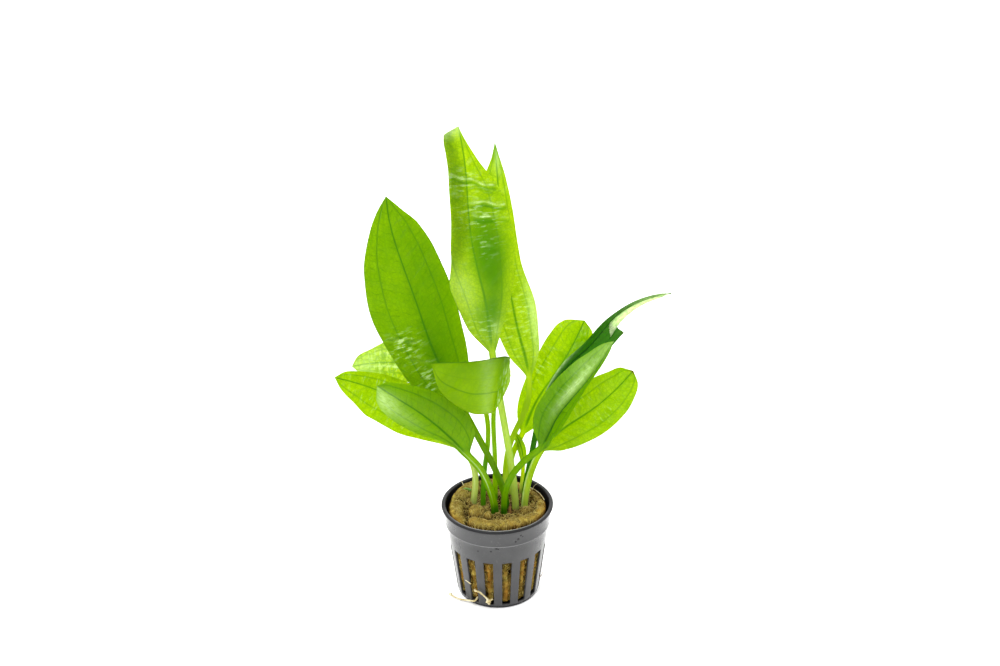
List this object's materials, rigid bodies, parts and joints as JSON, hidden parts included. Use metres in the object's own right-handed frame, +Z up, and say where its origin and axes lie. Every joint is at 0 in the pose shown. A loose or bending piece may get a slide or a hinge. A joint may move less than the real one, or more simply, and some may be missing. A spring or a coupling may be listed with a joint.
{
  "type": "potted amazon sword plant",
  "caption": "Young aquarium sword plant with arching oval leaves on channelled stalks, rooted in mineral wool in a slotted net pot that stands on its flat base.",
  "frame": {"origin": "centre of the pot's underside, on the plane it stands on", "axes": "+Z up along the pot's axis, -Y towards the front, the side the leaves mostly face, and +X to the right seen from the front"},
  "size_m": [0.161, 0.0805, 0.231],
  "materials": {
    "pot_plastic": "dark grey injection-moulded plastic with a soft sheen",
    "wool": "damp brownish-yellow mineral wool fibres",
    "leaf_green": "waxy mid-green leaf with fine veins",
    "leaf_pale": "waxy yellow-green leaf lit through",
    "root": "cream root"
  },
  "bodies": {
    "root": {"net_pot": "pot_plastic", "mineral_wool": "wool", "leaf_large_left": "leaf_green", "leaf_tall_centre": "leaf_green", "leaf_tall_back": "leaf_pale", "leaf_oval_back": "leaf_pale", "leaf_arching_right": "leaf_green", "leaf_folded_right": "leaf_green", "leaf_oval_right": "leaf_pale", "leaf_bent_front": "leaf_green", "leaf_front_left": "leaf_green", "leaf_wide_left": "leaf_pale", "leaf_pale_left": "leaf_pale", "leaf_small_back": "leaf_pale", "root_left": "root", "root_front": "root"}
  },
  "joints": []
}
